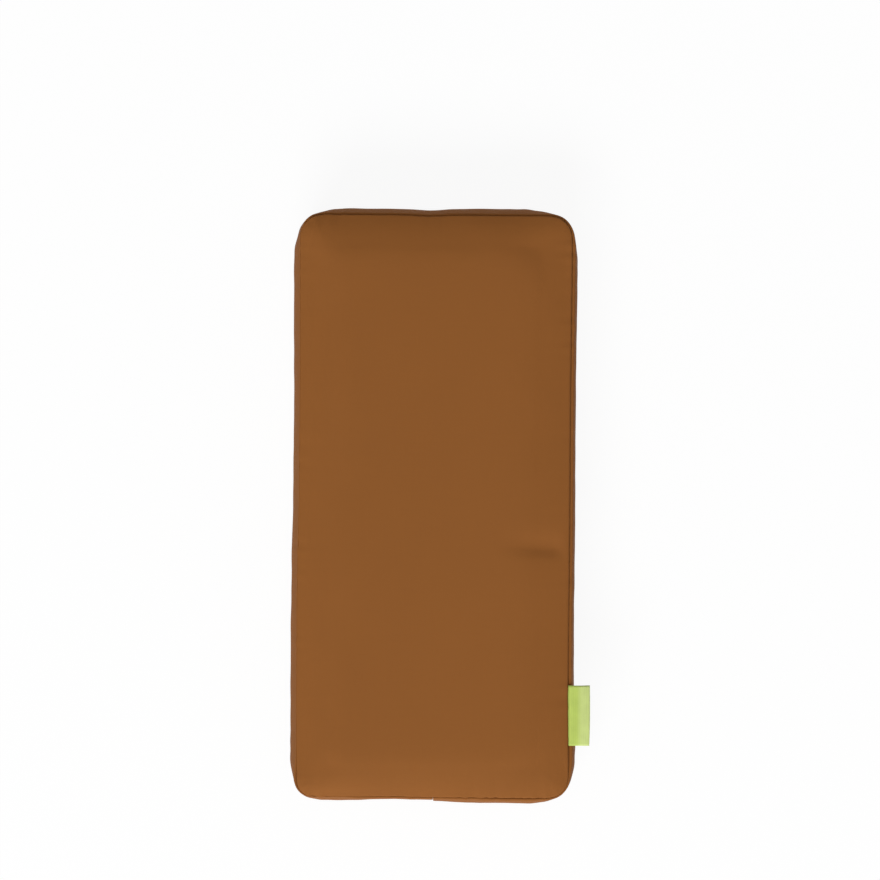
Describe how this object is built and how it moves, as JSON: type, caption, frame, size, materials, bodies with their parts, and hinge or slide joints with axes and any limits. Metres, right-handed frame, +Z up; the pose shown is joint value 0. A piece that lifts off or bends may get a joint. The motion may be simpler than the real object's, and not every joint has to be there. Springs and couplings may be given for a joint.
{
  "type": "bicycle rear rack seat cushion",
  "caption": "Oblong padded seat cushion for a bicycle's rear rack: boxed fabric cover over foam, folded side label, webbing straps underneath.",
  "frame": {"origin": "middle of the flat underside, which rests on the rack", "axes": "+Z up, away from the rack; +Y along the cushion's length, towards the end far from the label; +X across it, towards the labelled side"},
  "size_m": [0.1606, 0.32, 0.05],
  "materials": {
    "cover_fabric": "smooth coated plain weave, low sheen",
    "label_tape": "fine woven tape",
    "webbing": "ribbed flat webbing",
    "foam": "open-cell foam, matt"
  },
  "bodies": {
    "root": {"foam_core": "foam", "top_panel": "cover_fabric", "bottom_panel": "cover_fabric", "side_band": "cover_fabric", "side_label": "label_tape", "near_strap": "webbing", "far_strap": "webbing"}
  },
  "joints": []
}
